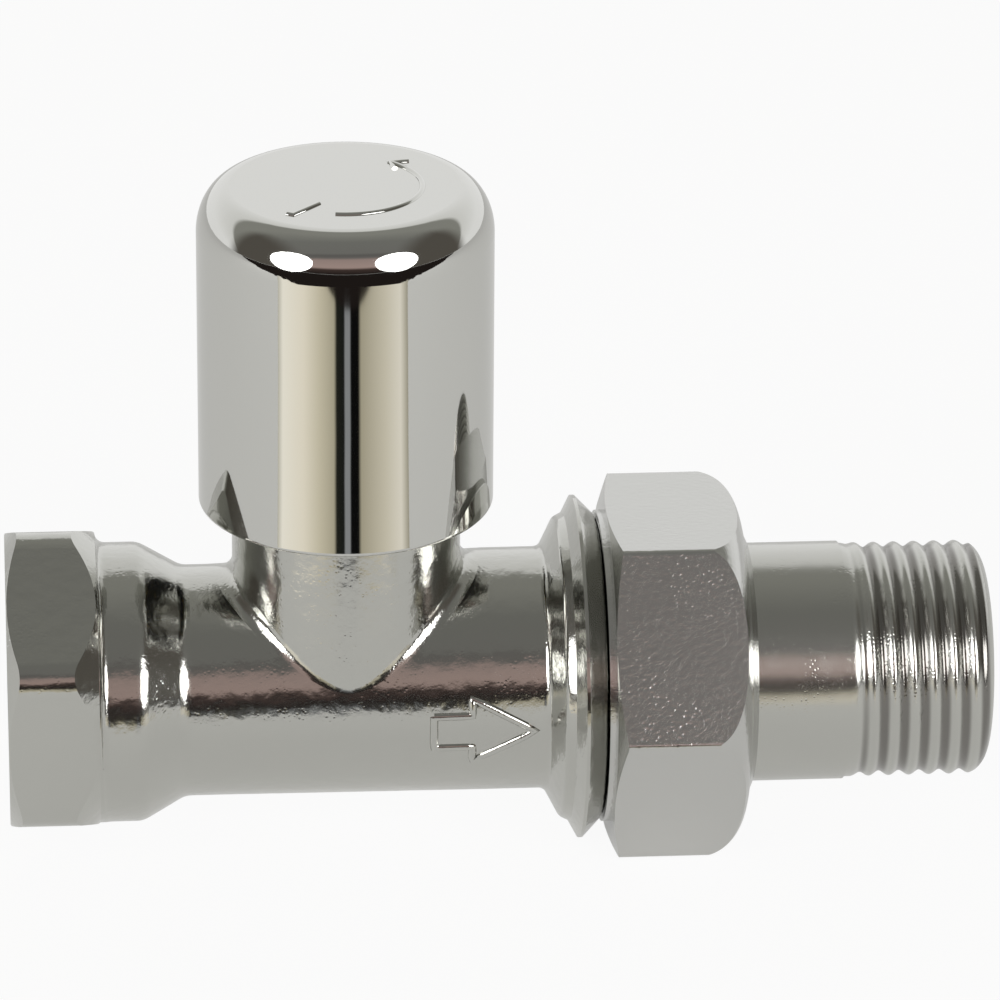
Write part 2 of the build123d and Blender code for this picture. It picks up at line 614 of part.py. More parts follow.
nodes = {
    "valve_body": valve_body(),
    "union_nut": union_nut(),
    "tailpiece": tailpiece(),
    "union_gasket": union_gasket(),
    "bonnet": bonnet(),
    "bonnet_o_ring": bonnet_o_ring(),
    **gland_stack(),
    "spindle": spindle(),
    "disc_holder": disc_holder(),
    "disc_clip": disc_clip(),
    "seat_washer": seat_washer(),
    "washer_plate": washer_plate(),
    "washer_screw": washer_screw(),
    "handwheel_shell": handwheel_shell(),
    "handwheel_insert": handwheel_insert(),
    "handwheel_washer": handwheel_washer(),
    "handwheel_screw": handwheel_screw(),
}

os.makedirs("parts", exist_ok=True)
for name, shape in nodes.items():
    export_step(shape, f"parts/{name}.step")
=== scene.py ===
"""Straight radiator valve: surface looks, threads, raised marks and a plain photo stage over the frame."""
import json
import math

import bmesh
import bpy
from mathutils import Matrix, Vector


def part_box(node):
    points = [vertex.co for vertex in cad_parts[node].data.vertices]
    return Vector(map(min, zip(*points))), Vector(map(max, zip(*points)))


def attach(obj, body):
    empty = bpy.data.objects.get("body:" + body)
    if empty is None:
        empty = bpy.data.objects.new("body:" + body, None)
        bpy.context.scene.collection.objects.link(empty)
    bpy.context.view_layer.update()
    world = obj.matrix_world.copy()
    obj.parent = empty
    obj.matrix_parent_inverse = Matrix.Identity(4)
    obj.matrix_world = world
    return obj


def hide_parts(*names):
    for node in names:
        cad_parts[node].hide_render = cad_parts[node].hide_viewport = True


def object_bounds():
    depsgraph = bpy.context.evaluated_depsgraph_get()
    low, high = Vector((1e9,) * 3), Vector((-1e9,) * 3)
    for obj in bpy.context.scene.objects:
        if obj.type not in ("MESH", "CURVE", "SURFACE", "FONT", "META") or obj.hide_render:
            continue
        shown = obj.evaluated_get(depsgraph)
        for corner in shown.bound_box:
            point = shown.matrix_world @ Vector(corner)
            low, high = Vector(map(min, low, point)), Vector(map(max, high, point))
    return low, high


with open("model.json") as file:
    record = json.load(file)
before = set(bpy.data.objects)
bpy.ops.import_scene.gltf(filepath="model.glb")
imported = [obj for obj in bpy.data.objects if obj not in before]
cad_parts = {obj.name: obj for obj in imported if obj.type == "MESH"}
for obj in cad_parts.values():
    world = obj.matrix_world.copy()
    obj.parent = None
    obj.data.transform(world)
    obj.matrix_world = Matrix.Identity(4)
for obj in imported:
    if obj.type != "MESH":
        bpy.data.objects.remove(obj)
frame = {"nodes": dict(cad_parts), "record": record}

MM = 0.001
NODES = frame["nodes"]
CAD_LOW, CAD_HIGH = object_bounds()
FLOOR_Z = CAD_LOW.z

# Points nearer than this lie on one circle, and points nearer than a weld are one point
NEAR = 0.01 * MM
WELD = 0.0005 * MM

# Threads: the half-inch pipe thread and the union thread share one pitch
PITCH = 1.814 * MM
PIPE_RADIUS = 10.4775 * MM
ROWS_PER_PITCH = 20
END_ROWS = 16

# Tailpiece: its shallow thread, where the first groove starts, and its rounded end
TAIL_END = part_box("tailpiece")[1].x
TAIL_THREAD_START = TAIL_END - 13.0 * MM
TAIL_GROOVE = 0.45 * MM
TAIL_FIRST_TURN = 0.35
TAIL_RUN_OUT = 2.2 * MM
TAIL_END_ROUND = 2.0 * MM
TAIL_END_DROP = 2.6 * MM

# Body: the inlet's inner thread and the union thread under the nut
INLET_MOUTH = 0.8 * MM
INLET_DEPTH = 11.5 * MM
UNION_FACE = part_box("valve_body")[1].x
UNION_START = UNION_FACE - 7.3 * MM
UNION_RADIUS = 13.1205 * MM
UNION_BEVEL = 0.8 * MM
FULL_DEPTH = 1.0 * MM

# Handwheel: its axis and top, and the raised turning arrow there
WHEEL_X = 30.2 * MM
WHEEL_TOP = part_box("handwheel_shell")[1].z
ARROW_RADIUS = 6.7 * MM
TOP_BEAD = 0.3 * MM
TOP_BEAD_SUNK = 0.1 * MM

# Barrel: its two ends as in the body, and the raised flow arrow on its front
BARREL_START = 17.9 * MM
BARREL_END = 42.5 * MM
BARREL_RADIUS_IN = 10.3 * MM
BARREL_RADIUS_OUT = 10.8 * MM
BARREL_DROP = 0.45 * MM
FLOW_BEAD = 0.4 * MM
FLOW_BEAD_SUNK = 0.15 * MM

# Stage: the paper's half width and front edge, and how white it looks to the eye and in the metal
PAPER_HALF = 4.0
PAPER_FRONT = -0.14
WHITE_SEEN = 0.93
WHITE_MIRRORED = 0.45
GROUND_HALF = 3.0
GROUND_STEP = 0.1 * MM
SHEET_STRENGTH = 1.15

# Lamps: two soft discs round the handwheel's top
LAMP_SIZE = 0.36
LAMP_DISTANCE = 0.6
LAMP_ELEVATION = 14
LAMP_POWER = 1.7

# Camera: the photograph's long lens, its place in degrees and the point it looks at
LENS = 269.3
CAMERA_AZIMUTH = -4.2
CAMERA_ELEVATION = 24.0
CAMERA_ROLL = 0.4
CAMERA_DISTANCE = 661.9 * MM
CAMERA_TARGET = Vector((43.85, 0.0, 16.4)) * MM


def colour(hex_code):
    """An sRGB hex colour as linear RGBA."""
    parts = [int(hex_code[k:k + 2], 16) / 255 for k in (1, 3, 5)]
    return [c / 12.92 if c <= 0.04045 else ((c + 0.055) / 1.055) ** 2.4 for c in parts] + [1.0]


def put(tree, kind, sockets=None, **settings):
    """Adds one node, sets it up and fills its inputs; a node given for an input lends its first output."""
    node = tree.nodes.new(kind)
    for name, value in settings.items():
        setattr(node, name, value)
    for name, value in (sockets or {}).items():
        if isinstance(value, bpy.types.Node):
            value = value.outputs[0]
        if isinstance(value, bpy.types.NodeSocket):
            tree.links.new(value, node.inputs[name])
        else:
            node.inputs[name].default_value = value
    return node


def new_material(name):
    """An empty material and its node tree."""
    material = bpy.data.materials.new(name)
    material.use_nodes = True
    material.node_tree.nodes.clear()
    return material, material.node_tree


def finish_surface(tree, **sockets):
    """Ends a material in one Principled surface."""
    named = {name.replace("_", " ").title(): value for name, value in sockets.items()}
    shader = put(tree, "ShaderNodeBsdfPrincipled", named)
    put(tree, "ShaderNodeOutputMaterial", {"Surface": shader.outputs["BSDF"]})


# Materials


def grain(tree, place, size, detail, strength, depth):
    """A soft random unevenness, as a bumped normal."""
    noise = put(tree, "ShaderNodeTexNoise", {"Vector": place, "Scale": 1 / size, "Detail": detail})
    return put(tree, "ShaderNodeBump", {"Height": noise, "Strength": strength, "Distance": depth})


def pits(tree, place, spacing, depth, patch, under):
    """Small round hollows at random, thicker in some patches than in others, as a bumped normal."""
    cells = put(tree, "ShaderNodeTexVoronoi", {"Vector": place, "Scale": 1 / spacing, "Randomness": 1.0})
    thick = put(tree, "ShaderNodeTexNoise", {"Vector": place, "Scale": 1 / patch, "Detail": 2.0})
    reach = put(
        tree,
        "ShaderNodeMapRange",
        {"Value": thick, "From Min": 0.36, "From Max": 0.64, "To Min": 0.1, "To Max": 0.5},
    )
    hollow = put(
        tree,
        "ShaderNodeMapRange",
        {"Value": cells, "From Min": 0.0, "From Max": reach},
        interpolation_type="SMOOTHSTEP",
    )
    height = put(tree, "ShaderNodeMath", {0: hollow, 1: reach}, operation="MULTIPLY")
    return put(
        tree, "ShaderNodeBump", {"Height": height, "Strength": 1.0, "Distance": 2 * depth, "Normal": under}
    )


def plated_forging():
    """Chrome plating over a blasted brass forging: a grey mirror broken up by soft waves and fine specks."""
    material, tree = new_material("chrome plated brass forging")
    place = put(tree, "ShaderNodeTexCoord").outputs["Object"]
    soft = grain(tree, place, size=1.5 * MM, detail=4.0, strength=0.6, depth=0.08 * MM)
    specks = pits(tree, place, spacing=0.4 * MM, depth=0.010 * MM, patch=3.0 * MM, under=soft)
    finish_surface(
        tree, base_color=colour("#c2c2bd"), metallic=1.0, roughness=0.14, normal=specks.outputs["Normal"]
    )
    return material


def plated_nut():
    """Chrome plating over a milled brass nut: a grey mirror with small pits that catch the light."""
    material, tree = new_material("chrome plated milled brass nut")
    place = put(tree, "ShaderNodeTexCoord").outputs["Object"]
    soft = grain(tree, place, size=0.5 * MM, detail=2.0, strength=0.5, depth=0.045 * MM)
    specks = pits(tree, place, spacing=0.45 * MM, depth=0.013 * MM, patch=6.0 * MM, under=soft)
    finish_surface(
        tree, base_color=colour("#c9c9c6"), metallic=1.0, roughness=0.2, normal=specks.outputs["Normal"]
    )
    return material


def plated_turning():
    """Chrome plating over turned brass: a grey mirror with faint tool rings and painted shade in the thread's
    grooves.
    """
    material, tree = new_material("chrome plated turned brass")
    place = put(tree, "ShaderNodeTexCoord").outputs["Object"]
    # Tool rings are a tenth of a millimetre apart; they are drawn coarser so that a pixel can hold them
    rings = put(
        tree,
        "ShaderNodeTexWave",
        {"Vector": place, "Scale": 1 / (20 * 0.35 * MM), "Distortion": 1.0, "Detail": 1.0},
        wave_type="BANDS",
        bands_direction="X",
    )
    fine = put(tree, "ShaderNodeBump", {"Height": rings, "Strength": 0.4, "Distance": 0.004 * MM})
    specks = pits(tree, place, spacing=0.35 * MM, depth=0.014 * MM, patch=4.0 * MM, under=fine)
    # Painted shade: the colour turns darker towards the bottom of the thread's grooves
    groove = put(tree, "ShaderNodeAttribute", attribute_name="groove").outputs["Fac"]
    groove_shade = put(
        tree,
        "ShaderNodeMapRange",
        {"Value": groove, "From Min": 0.25, "From Max": 0.9},
        interpolation_type="SMOOTHSTEP",
    )
    shade = put(
        tree,
        "ShaderNodeMix",
        {"Factor": groove_shade, "A": colour("#c2c2bd"), "B": colour("#83817d")},
        data_type="RGBA",
    )
    finish_surface(
        tree,
        base_color=shade.outputs["Result"],
        metallic=1.0,
        roughness=0.2,
        normal=specks.outputs["Normal"],
    )
    return material


def chromed_plastic():
    """Bright chrome on moulded plastic: a clean mirror with hardly any waviness."""
    material, tree = new_material("bright chrome plated plastic")
    place = put(tree, "ShaderNodeTexCoord").outputs["Object"]
    soft = grain(tree, place, size=9 * MM, detail=1.0, strength=0.3, depth=0.05 * MM)
    finish_surface(
        tree, base_color=colour("#d0d0cc"), metallic=1.0, roughness=0.04, normal=soft.outputs["Normal"]
    )
    return material


def bare_brass():
    """Machined brass without plating: warm yellow, satin, slightly uneven in tone."""
    material, tree = new_material("machined brass")
    place = put(tree, "ShaderNodeTexCoord").outputs["Object"]
    tone = put(tree, "ShaderNodeTexNoise", {"Vector": place, "Scale": 1 / (3 * MM), "Detail": 2.0})
    ramp = put(tree, "ShaderNodeValToRGB", {"Fac": tone})
    ramp.color_ramp.elements[0].color = colour("#c9a860")
    ramp.color_ramp.elements[1].color = colour("#dfc27e")
    finish_surface(tree, base_color=ramp.outputs["Color"], metallic=1.0, roughness=0.28)
    return material


def gasket_rubber():
    """Black moulded rubber: matt, with a fine bloom."""
    material, tree = new_material("moulded black rubber")
    place = put(tree, "ShaderNodeTexCoord").outputs["Object"]
    soft = grain(tree, place, size=0.3 * MM, detail=2.0, strength=0.3, depth=0.02 * MM)
    finish_surface(tree, base_color=colour("#262626"), roughness=0.62, normal=soft.outputs["Normal"])
    return material


def packing():
    """Pressed white packing: waxy and plain."""
    material, tree = new_material("pressed white packing")
    place = put(tree, "ShaderNodeTexCoord").outputs["Object"]
    soft = grain(tree, place, size=0.5 * MM, detail=1.0, strength=0.2, depth=0.02 * MM)
    finish_surface(tree, base_color=colour("#e6e5df"), roughness=0.45, normal=soft.outputs["Normal"])
    return material


def spring_steel():
    """Drawn steel of clips, washers and screws: dull grey metal."""
    material, tree = new_material("drawn steel")
    place = put(tree, "ShaderNodeTexCoord").outputs["Object"]
    soft = grain(tree, place, size=0.4 * MM, detail=2.0, strength=0.2, depth=0.01 * MM)
    finish_surface(
        tree, base_color=colour("#b0b0ae"), metallic=1.0, roughness=0.3, normal=soft.outputs["Normal"]
    )
    return material


def moulded_plastic():
    """The handwheel's core, moulded in light grey plastic: satin with a faint texture."""
    material, tree = new_material("moulded light grey plastic")
    place = put(tree, "ShaderNodeTexCoord").outputs["Object"]
    soft = grain(tree, place, size=0.4 * MM, detail=2.0, strength=0.3, depth=0.01 * MM)
    finish_surface(tree, base_color=colour("#d2d2ce"), roughness=0.5, normal=soft.outputs["Normal"])
    return material


LOOKS = {
    "plated_forging": plated_forging(),
    "plated_nut": plated_nut(),
    "plated_turning": plated_turning(),
    "chromed_plastic": chromed_plastic(),
    "bare_brass": bare_brass(),
    "gasket_rubber": gasket_rubber(),
    "packing": packing(),
    "spring_steel": spring_steel(),
    "moulded_plastic": moulded_plastic(),
}


def dress_nodes():
    """Gives every CAD node the look of its slot."""
    for entry in frame["record"]["subparts"]:
        mesh = NODES[entry["node"]].data
        mesh.materials.clear()
        mesh.materials.append(LOOKS[entry["material_slot"]])


# Threads


def thread_tree(look):
    """Geometry Nodes: moves the finely meshed bands of a piece into a right-hand thread along +X."""
    tree = bpy.data.node_groups.new("helical thread", "GeometryNodeTree")
    tree.interface.new_socket("Geometry", in_out="INPUT", socket_type="NodeSocketGeometry")
    sizes = ("Start", "End", "Radius", "Pitch", "First Turn", "Depth", "Run Out", "End Round", "End Drop")
    for name in sizes:
        tree.interface.new_socket(name, in_out="INPUT", socket_type="NodeSocketFloat")
    tree.interface.new_socket("Geometry", in_out="OUTPUT", socket_type="NodeSocketGeometry")
    given = put(tree, "NodeGroupInput").outputs
    place = put(tree, "GeometryNodeInputPosition")
    parts = put(tree, "ShaderNodeSeparateXYZ", {0: place}).outputs

    # A groove in each pitch, which moves on with the angle round the axis
    angle = put(tree, "ShaderNodeMath", {0: parts["Z"], 1: parts["Y"]}, operation="ARCTAN2")
    turns = put(tree, "ShaderNodeMath", {0: angle, 1: math.tau}, operation="DIVIDE")
    pitches = put(tree, "ShaderNodeMath", {0: parts["X"], 1: given["Pitch"]}, operation="DIVIDE")
    advance = put(tree, "ShaderNodeMath", {0: pitches, 1: turns}, operation="SUBTRACT")
    shifted = put(tree, "ShaderNodeMath", {0: advance, 1: given["First Turn"]}, operation="ADD")
    phase = put(tree, "ShaderNodeMath", {0: shifted}, operation="FRACT")
    swing = put(tree, "ShaderNodeMath", {0: phase, 1: 2.0, 2: -1.0}, operation="MULTIPLY_ADD")
    ridge = put(tree, "ShaderNodeMath", {0: swing}, operation="ABSOLUTE")
    groove = put(
        tree,
        "ShaderNodeMapRange",
        {"Value": ridge, "To Min": 1.0, "To Max": 0.0},
        interpolation_type="SMOOTHSTEP",
    )

    # The groove grows over the run-out, and the end falls away as a quarter of an ellipse
    run_end = put(tree, "ShaderNodeMath", {0: given["Start"], 1: given["Run Out"]}, operation="ADD")
    grown = put(
        tree,
        "ShaderNodeMapRange",
        {"Value": parts["X"], "From Min": given["Start"], "From Max": run_end},
        interpolation_type="SMOOTHSTEP",
    )
    share = put(tree, "ShaderNodeMath", {0: groove, 1: grown}, operation="MULTIPLY")
    depth = put(tree, "ShaderNodeMath", {0: share, 1: given["Depth"]}, operation="MULTIPLY")
    end_start = put(tree, "ShaderNodeMath", {0: given["End"], 1: given["End Round"]}, operation="SUBTRACT")
    along_end = put(
        tree, "ShaderNodeMapRange", {"Value": parts["X"], "From Min": end_start, "From Max": given["End"]}
    )
    square = put(tree, "ShaderNodeMath", {0: along_end, 1: along_end}, operation="MULTIPLY")
    rest = put(tree, "ShaderNodeMath", {0: 1.0, 1: square}, operation="SUBTRACT")
    level = put(tree, "ShaderNodeMath", {0: rest}, operation="SQRT")
    fall = put(tree, "ShaderNodeMath", {0: 1.0, 1: level}, operation="SUBTRACT")
    drop = put(tree, "ShaderNodeMath", {0: fall, 1: given["End Drop"]}, operation="MULTIPLY")
    deepest = put(tree, "ShaderNodeMath", {0: depth, 1: drop}, operation="MAXIMUM")
    radius = put(tree, "ShaderNodeMath", {0: given["Radius"], 1: deepest}, operation="SUBTRACT")

    # The band's points between start and end go to that radius
    across = put(tree, "ShaderNodeCombineXYZ", {"Y": parts["Y"], "Z": parts["Z"]})
    outward = put(tree, "ShaderNodeVectorMath", {0: across}, operation="NORMALIZE")
    rim = put(tree, "ShaderNodeVectorMath", {0: outward, "Scale": radius}, operation="SCALE")
    along = put(tree, "ShaderNodeCombineXYZ", {"X": parts["X"]})
    target = put(tree, "ShaderNodeVectorMath", {0: rim, 1: along}, operation="ADD")
    band = put(tree, "GeometryNodeInputNamedAttribute", {"Name": "thread_band"}, data_type="FLOAT")
    after = put(tree, "ShaderNodeMath", {0: parts["X"], 1: given["Start"]}, operation="GREATER_THAN")
    before = put(tree, "ShaderNodeMath", {0: parts["X"], 1: given["End"]}, operation="LESS_THAN")
    between = put(tree, "ShaderNodeMath", {0: after, 1: before}, operation="MULTIPLY")
    chosen = put(tree, "ShaderNodeMath", {0: band, 1: between}, operation="MULTIPLY")
    moved = put(
        tree,
        "GeometryNodeSetPosition",
        {"Geometry": given["Geometry"], "Selection": chosen, "Position": target},
    )

    # How deep each point lies in its groove stays with the mesh, for the painted shade in the grooves
    sunk = put(tree, "ShaderNodeMath", {0: share, 1: chosen}, operation="MULTIPLY")
    marked = put(
        tree,
        "GeometryNodeStoreNamedAttribute",
        {"Geometry": moved, "Name": "groove", "Value": sunk},
        data_type="FLOAT",
        domain="POINT",
    )
    whole = put(tree, "GeometryNodeRealizeInstances", {0: marked})
    painted = put(tree, "GeometryNodeSetMaterial", {"Geometry": whole, "Material": look})
    put(tree, "NodeGroupOutput", {"Geometry": painted})
    return tree


def add_tree(obj, tree, **values):
    """Puts a Geometry Nodes tree on a piece and sets its named inputs."""
    modifier = obj.modifiers.new(tree.name, "NODES")
    modifier.node_group = tree
    sockets = {s.name: s.identifier for s in tree.interface.items_tree if s.in_out == "INPUT"}
    for name, value in values.items():
        modifier[sockets[name.replace("_", " ").title()]] = value


def bake(obj):
    """Turns a piece with Geometry Nodes into a plain mesh object of the same name."""
    graph = bpy.context.evaluated_depsgraph_get()
    mesh = bpy.data.meshes.new_from_object(obj.evaluated_get(graph))
    name = obj.name
    bpy.data.objects.remove(obj)
    made = bpy.data.objects.new(name, mesh)
    mesh.name = name
    bpy.context.scene.collection.objects.link(made)
    return made


def on_band(face, start, end, low, high):
    """Whether a face lies on the round wall between two circles, and not flat across the axis."""
    for vert in face.verts:
        reach = math.hypot(vert.co.y, vert.co.z)
        if not (start - NEAR < vert.co.x < end + NEAR and low - NEAR < reach < high + NEAR):
            return False
    places = [vert.co.x for vert in face.verts]
    return max(places) - min(places) > 0.1 * NEAR


def around(vert):
    """The angle of a point round the pipe axis."""
    return math.atan2(vert.co.z, vert.co.y)


def row_places(start, end, end_round):
    """Places of a band's rows: even along the thread, closer and closer over a rounded end."""
    plain = end - end_round
    even = math.ceil((plain - start) * ROWS_PER_PITCH / PITCH)
    places = [start + (plain - start) * k / even for k in range(1, even)]
    if end_round > 0:
        places += [plain + end_round * math.sin(math.pi / 2 * k / END_ROWS) for k in range(END_ROWS)]
    return places


def fine_band(bm, mark, start, end, low, high, end_round):
    """Swaps the plain round faces between two circles for rows fine enough to carry a thread."""
    plain_faces = [face for face in bm.faces if on_band(face, start, end, low, high)]
    bmesh.ops.delete(bm, geom=plain_faces, context="FACES")
    rims = [edge for edge in bm.edges if edge.is_boundary]
    for edge in rims:
        edge.smooth = False
    rim_verts = {vert for edge in rims for vert in edge.verts if abs(vert.co.x - start) < NEAR}
    first = sorted(rim_verts, key=around)
    ring = first
    for x in row_places(start, end, end_round):
        row = [bm.verts.new((x, high * math.cos(around(v)), high * math.sin(around(v)))) for v in first]
        for vert in row:
            vert[mark] = 1.0
        for k in range(len(ring)):
            following = (k + 1) % len(ring)
            bm.faces.new((ring[k], ring[following], row[following], row[k])).smooth = True
        ring = row
    gap = [edge for edge in bm.edges if edge.is_boundary]
    for face in bmesh.ops.bridge_loops(bm, edges=gap)["faces"]:
        face.smooth = True


def banded_copy(node, bands):
    """A copy of a CAD node with fine bands in place of its plain thread cylinders."""
    source = NODES[node].data
    bm = bmesh.new()
    bm.from_mesh(source)
    kept = bm.loops.layers.float_vector.new("kept_normal")
    mark = bm.verts.layers.float.new("thread_band")
    normals = [n.vector.copy() for n in source.corner_normals]
    for face, polygon in zip(bm.faces, source.polygons):
        for loop, corner in zip(face.loops, polygon.loop_indices):
            loop[kept] = normals[corner]
    bmesh.ops.remove_doubles(bm, verts=bm.verts, dist=WELD)
    for band in bands:
        fine_band(bm, mark, *band)
    bmesh.ops.recalc_face_normals(bm, faces=bm.faces)
    mesh = bpy.data.meshes.new(node + "_threaded")
    bm.to_mesh(mesh)
    bm.free()
    obj = bpy.data.objects.new(node + "_threaded", mesh)
    bpy.context.scene.collection.objects.link(obj)
    return obj


def settle_normals(obj):
    """Gives the untouched faces their CAD normals back and lets the thread's own follow its form."""
    mesh = obj.data
    kept = mesh.attributes["kept_normal"]
    mesh.normals_split_custom_set([value.vector for value in kept.data])
    mesh.attributes.remove(mesh.attributes["kept_normal"])
    mesh.attributes.remove(mesh.attributes["thread_band"])


def take_over(obj, body, node):
    """The finished piece stands for a CAD node and rides on its body."""
    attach(obj, body)
    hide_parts(node)


def threaded_tailpiece():
    """The tail with its half-inch pipe thread, which fades into the shank and runs out over the round end."""
    low = PIPE_RADIUS - TAIL_END_DROP
    obj = banded_copy("tailpiece", [(TAIL_THREAD_START, TAIL_END, low, PIPE_RADIUS, TAIL_END_ROUND)])
    add_tree(
        obj,
        thread_tree(LOOKS["plated_turning"]),
        start=TAIL_THREAD_START,
        end=TAIL_END,
        radius=PIPE_RADIUS,
        pitch=PITCH,
        depth=TAIL_GROOVE,
        first_turn=TAIL_FIRST_TURN,
        run_out=TAIL_RUN_OUT,
        end_round=TAIL_END_ROUND,
        end_drop=TAIL_END_DROP,
    )
    obj = bake(obj)
    settle_normals(obj)
    take_over(obj, "tail", "tailpiece")


def threaded_body():
    """The body with its inner thread at the inlet and its union thread under the nut."""
    inlet = (INLET_MOUTH, INLET_DEPTH, PIPE_RADIUS, PIPE_RADIUS, 0.0)
    union = (UNION_START, UNION_FACE, UNION_RADIUS - UNION_BEVEL, UNION_RADIUS, UNION_BEVEL)
    obj = banded_copy("valve_body", [inlet, union])
    tree = thread_tree(LOOKS["plated_forging"])
    for start, end, low, high, bevel in (inlet, union):
        add_tree(
            obj,
            tree,
            start=start,
            end=end,
            radius=high,
            pitch=PITCH,
            depth=FULL_DEPTH,
            run_out=PITCH / 2,
            end_round=bevel,
            end_drop=high - low,
        )
    obj = bake(obj)
    settle_normals(obj)
    take_over(obj, "valve", "valve_body")


# Raised marks


def bead_tree(look):
    """Geometry Nodes: a round bead along each line of points."""
    tree = bpy.data.node_groups.new("raised line", "GeometryNodeTree")
    tree.interface.new_socket("Geometry", in_out="INPUT", socket_type="NodeSocketGeometry")
    tree.interface.new_socket("Bead Radius", in_out="INPUT", socket_type="NodeSocketFloat")
    tree.interface.new_socket("Geometry", in_out="OUTPUT", socket_type="NodeSocketGeometry")
    given = put(tree, "NodeGroupInput").outputs
    path = put(tree, "GeometryNodeMeshToCurve", {0: given["Geometry"]})
    section = put(
        tree, "GeometryNodeCurvePrimitiveCircle", {"Radius": given["Bead Radius"], "Resolution": 16}
    )
    bead = put(tree, "GeometryNodeCurveToMesh", {0: path, 1: section, "Fill Caps": True})
    smooth = put(tree, "GeometryNodeSetShadeSmooth", {0: bead})
    whole = put(tree, "GeometryNodeRealizeInstances", {0: smooth})
    painted = put(tree, "GeometryNodeSetMaterial", {"Geometry": whole, "Material": look})
    put(tree, "NodeGroupOutput", {"Geometry": painted})
    return tree


def raised_lines(name, lines, bead_radius, body, slot):
    """Raised beads along lines of points, as one piece that rides on a body."""
    points = [point for line in lines for point in line]
    edges = []
    first = 0
    for line in lines:
        edges += [(first + k, first + k + 1) for k in range(len(line) - 1)]
        first += len(line)
    mesh = bpy.data.meshes.new(name)
    mesh.from_pydata(points, edges, [])
    obj = bpy.data.objects.new(name, mesh)
    bpy.context.scene.collection.objects.link(obj)
    add_tree(obj, bead_tree(LOOKS[slot]), bead_radius=bead_radius)
    obj = bake(obj)
    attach(obj, body)


def turning_arrow():
    """The long round arrow on top of the handwheel, with a short stop mark at its start."""
    z = WHEEL_TOP - TOP_BEAD_SUNK
    first, last, steps = -100, 52, 40
    turn = [math.radians(first + (last - first) * k / steps) for k in range(steps + 1)]
    arc = [(ARROW_RADIUS * math.cos(a), ARROW_RADIUS * math.sin(a)) for a in turn]
    tip = arc[-1]
    outer = (tip[0] + 1.7 * MM, tip[1] + 0.2 * MM)
    inner = (tip[0] + 0.4 * MM, tip[1] - 1.5 * MM)
    stop = [(-5.3 * MM, -6.3 * MM), (-4.8 * MM, -6.6 * MM), (-2.5 * MM, -4.1 * MM)]
    flat_lines = [arc, [outer, tip, inner], stop]
    lines = [[(WHEEL_X + u, v, z) for u, v in line] for line in flat_lines]
    raised_lines("turning_arrow", lines, TOP_BEAD, "handwheel", "chromed_plastic")


def on_barrel(x, angle):
    """A point just under the barrel's skin; angle 0 is its front, and upwards is positive."""
    share = min(max((x - BARREL_START) / (BARREL_END - BARREL_START), 0.0), 1.0)
    radius = BARREL_RADIUS_IN + (BARREL_RADIUS_OUT - BARREL_RADIUS_IN) * share - FLOW_BEAD_SUNK
    drop = BARREL_DROP * (1 - share)
    turn = math.radians(angle)
    return (x, -radius * math.cos(turn), radius * math.sin(turn) - drop)


def flow_arrow():
    """The outline of a plain arrow on the barrel's front, which points to the outlet."""
    tail, base, tip = 37.4 * MM, 40.8 * MM, 46.4 * MM
    middle, shaft, barb = -6.0, 8.5, 17.0
    corners = [
        (tail, middle + shaft),
        (base, middle + shaft),
        (base, middle + barb),
        (tip, middle),
        (base, middle - barb),
        (base, middle - shaft),
        (tail, middle - shaft),
        (tail, middle + shaft),
    ]
    steps = 6
    line = [on_barrel(*corners[0])]
    for (x, angle), (next_x, next_angle) in zip(corners, corners[1:]):
        for k in range(1, steps + 1):
            line.append(on_barrel(x + (next_x - x) * k / steps, angle + (next_angle - angle) * k / steps))
    raised_lines("flow_arrow", [line], FLOW_BEAD, "valve", "plated_forging")


# Stage


def plain_plane(name, corners, material):
    """One flat stage piece."""
    mesh = bpy.data.meshes.new(name)
    mesh.from_pydata(corners, [], [tuple(range(len(corners)))])
    mesh.materials.append(material)
    obj = bpy.data.objects.new(name, mesh)
    bpy.context.scene.collection.objects.link(obj)
    return obj


def pale_floor():
    """White paper: it looks white to the eye and in the metal, and holds a faint shadow."""
    material, tree = new_material("white paper")
    path = put(tree, "ShaderNodeLightPath").outputs
    mirrored = put(
        tree,
        "ShaderNodeMath",
        {0: path["Is Glossy Ray"], 1: path["Is Transmission Ray"]},
        operation="MAXIMUM",
    )
    seen = put(
        tree,
        "ShaderNodeMath",
        {0: mirrored, 1: WHITE_MIRRORED, 2: path["Is Camera Ray"]},
        operation="MULTIPLY_ADD",
    )
    share = put(tree, "ShaderNodeMath", {0: seen, 1: WHITE_SEEN}, operation="MULTIPLY")
    paper = put(tree, "ShaderNodeBsdfDiffuse", {"Color": colour("#e6e6e4")})
    white = put(tree, "ShaderNodeEmission", {"Color": colour("#ffffff"), "Strength": 1.0})
    mixed = put(tree, "ShaderNodeMixShader", {0: share, 1: paper, 2: white})
    put(tree, "ShaderNodeOutputMaterial", {"Surface": mixed})
    half = PAPER_HALF
    corners = [(-half, -half), (half, -half), (half, half), (-half, half)]
    plain_plane("floor", [(x, y, FLOOR_Z) for x, y in corners], material)


def set_stops(ramp, stops):
    """Fills a colour ramp with places and hex colours."""
    elements = ramp.color_ramp.elements
    while len(elements) < len(stops):
        elements.new(0.5)
    for element, (place, hex_code) in zip(elements, stops):
        element.position = place
        element.color = colour(hex_code)


def only_mirrored(obj):
    """Leaves a stage piece to the metal's reflections alone."""
    obj.visible_camera = False
    obj.visible_diffuse = False
    obj.visible_shadow = False
    obj.visible_transmission = False


